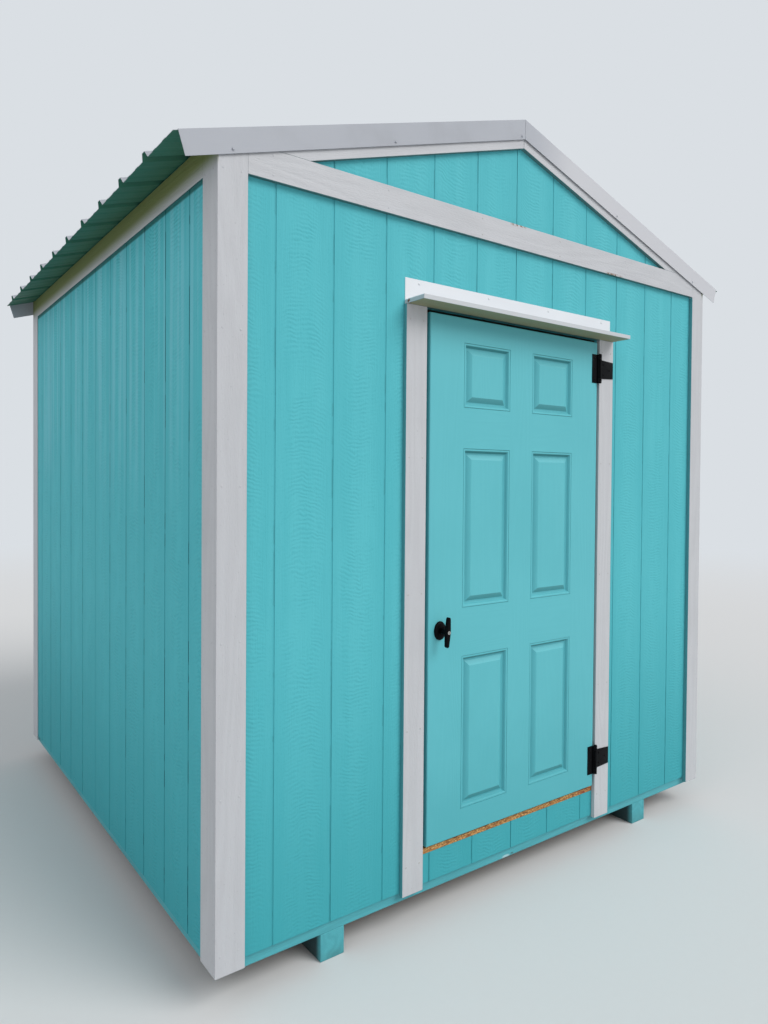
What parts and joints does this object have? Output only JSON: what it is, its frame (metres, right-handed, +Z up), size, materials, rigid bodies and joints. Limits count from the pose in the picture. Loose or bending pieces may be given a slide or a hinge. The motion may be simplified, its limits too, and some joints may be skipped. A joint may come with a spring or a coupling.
{
  "type": "garden shed",
  "caption": "Gable-front timber garden shed with grooved siding, pale trim boards, a ribbed sheet roof and a hinged panelled door with a turning lock handle.",
  "frame": {"origin": "on the ground, in the middle of the overall width and depth", "axes": "+Z up, +X to the right seen from the front, +Y from the door wall to the rear wall"},
  "size_m": [2.7046, 2.5372, 2.8896],
  "materials": {
    "siding_paint": "satin",
    "trim_paint": "satin",
    "base_paint": "satin",
    "framing_timber": "matte",
    "deck_board": "matte",
    "roof_steel": "satin",
    "flashing_steel": "satin",
    "door_paint": "satin",
    "black_steel": "satin",
    "key_steel": "polished"
  },
  "bodies": {
    "shed": {"skids": "base_paint", "floor_joists": "base_paint", "floor_end_bands": "base_paint", "floor_deck": "deck_board", "front_siding_left": "siding_paint", "front_siding_right": "siding_paint", "front_siding_over_door": "siding_paint", "front_siding_below_door": "siding_paint", "rear_siding": "siding_paint", "left_siding": "siding_paint", "right_siding": "siding_paint", "side_wall_studs": "framing_timber", "rear_wall_studs": "framing_timber", "front_wall_studs": "framing_timber", "door_jambs": "framing_timber", "door_header": "framing_timber", "door_stops": "framing_timber", "side_sole_plates": "framing_timber", "end_sole_plates": "framing_timber", "side_top_plates": "framing_timber", "end_top_plates": "framing_timber", "rafters": "framing_timber", "ridge_board": "framing_timber", "purlins": "framing_timber", "left_roof_sheet": "roof_steel", "right_roof_sheet": "roof_steel", "ridge_cap": "roof_steel", "front_rake_trim": "roof_steel", "rear_rake_trim": "roof_steel", "end_corner_boards": "trim_paint", "side_corner_boards": "trim_paint", "gable_bands": "trim_paint", "rake_boards": "trim_paint", "frieze_boards": "trim_paint", "door_casings": "trim_paint", "header_flashing": "flashing_steel", "hinge_straps": "black_steel", "hinge_pins": "black_steel"},
    "door": {"door_leaf": "door_paint", "hinge_plates": "black_steel", "handle_rose": "black_steel"},
    "handle": {"handle_grip": "black_steel", "handle_key_core": "key_steel", "handle_inside_lever": "black_steel"}
  },
  "joints": [
    {"name": "door_swing", "type": "hinge", "parent": "shed", "child": "door", "pos_m": [0.45655, -1.19095, 1.18], "axis": [0, 0, 1], "range_deg": [0, 180]},
    {"name": "handle_turn", "type": "hinge", "parent": "door", "child": "handle", "pos_m": [-0.398, -1.18295, 1.001], "axis": [0, -1, 0], "range_deg": [0, 90]}
  ]
}
